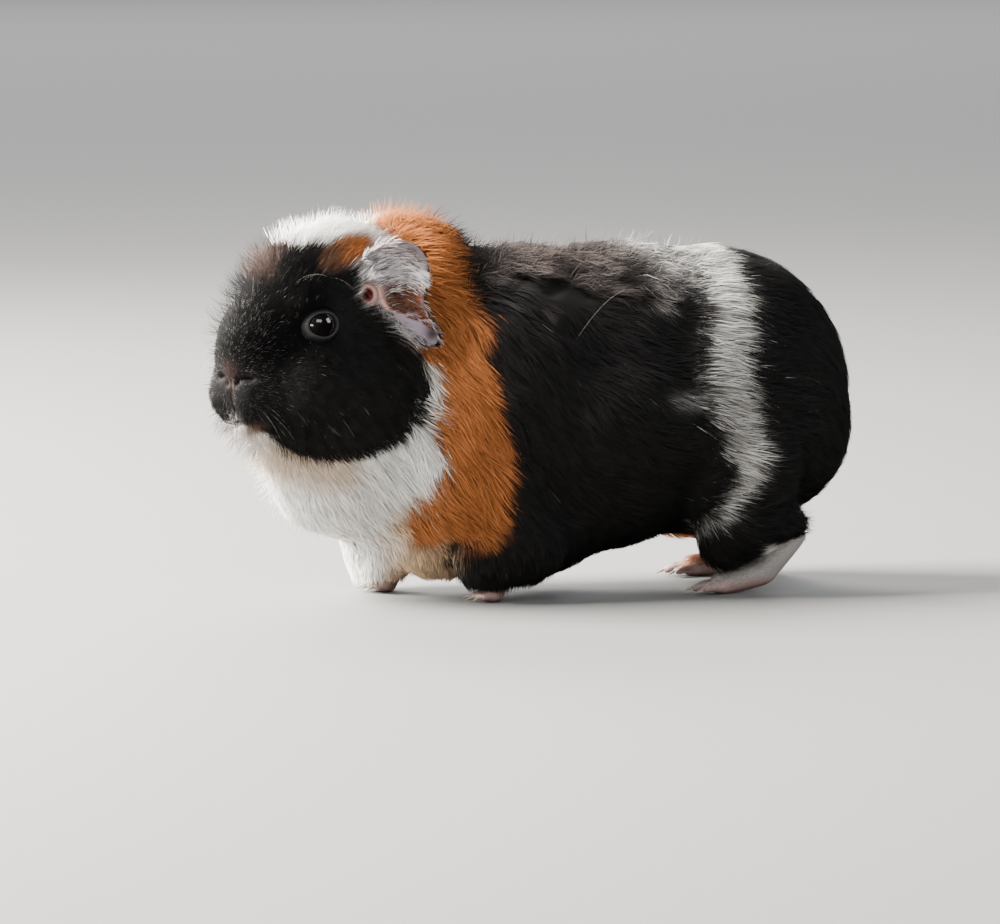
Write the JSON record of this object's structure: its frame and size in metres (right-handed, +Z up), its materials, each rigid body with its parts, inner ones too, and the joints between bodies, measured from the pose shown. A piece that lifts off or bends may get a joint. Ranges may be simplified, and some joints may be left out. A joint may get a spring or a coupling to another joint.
{
  "type": "guinea pig",
  "caption": "Standing short-haired guinea pig as a still, life-size model, with its head turned to its left and one forefoot ahead.",
  "frame": {"origin": "on the floor, under the middle of the animal's box", "axes": "-X the way the animal faces, -Y its left side, +Z up"},
  "size_m": [0.2622, 0.1034, 0.1495],
  "materials": {
    "coat_black": "short rough black hair with a soft sheen",
    "coat_white": "fluffy white hair",
    "coat_ginger": "ginger hair, paler at the tips",
    "bare_skin": "bare greyish pink skin",
    "eye": "wet glossy near-black",
    "claw": "translucent horn"
  },
  "bodies": {
    "root": {"head": "coat_black", "neck": "coat_ginger", "trunk": "coat_black", "foreleg_left": "coat_black", "foreleg_right": "coat_white", "hindleg_left": "coat_black", "hindleg_right": "coat_black", "hindfoot_left": "coat_white", "hindfoot_right": "coat_ginger", "forepaw_left": "bare_skin", "forepaw_right": "bare_skin", "ear_left": "bare_skin", "ear_right": "bare_skin", "eye_left": "eye", "eye_right": "eye", "claw_forepaw_left_1": "claw", "claw_forepaw_left_2": "claw", "claw_forepaw_left_3": "claw", "claw_forepaw_left_4": "claw", "claw_forepaw_right_1": "claw", "claw_forepaw_right_2": "claw", "claw_forepaw_right_3": "claw", "claw_forepaw_right_4": "claw", "claw_hindfoot_left_1": "claw", "claw_hindfoot_left_2": "claw", "claw_hindfoot_left_3": "claw", "claw_hindfoot_right_1": "claw", "claw_hindfoot_right_2": "claw", "claw_hindfoot_right_3": "claw"}
  },
  "joints": []
}
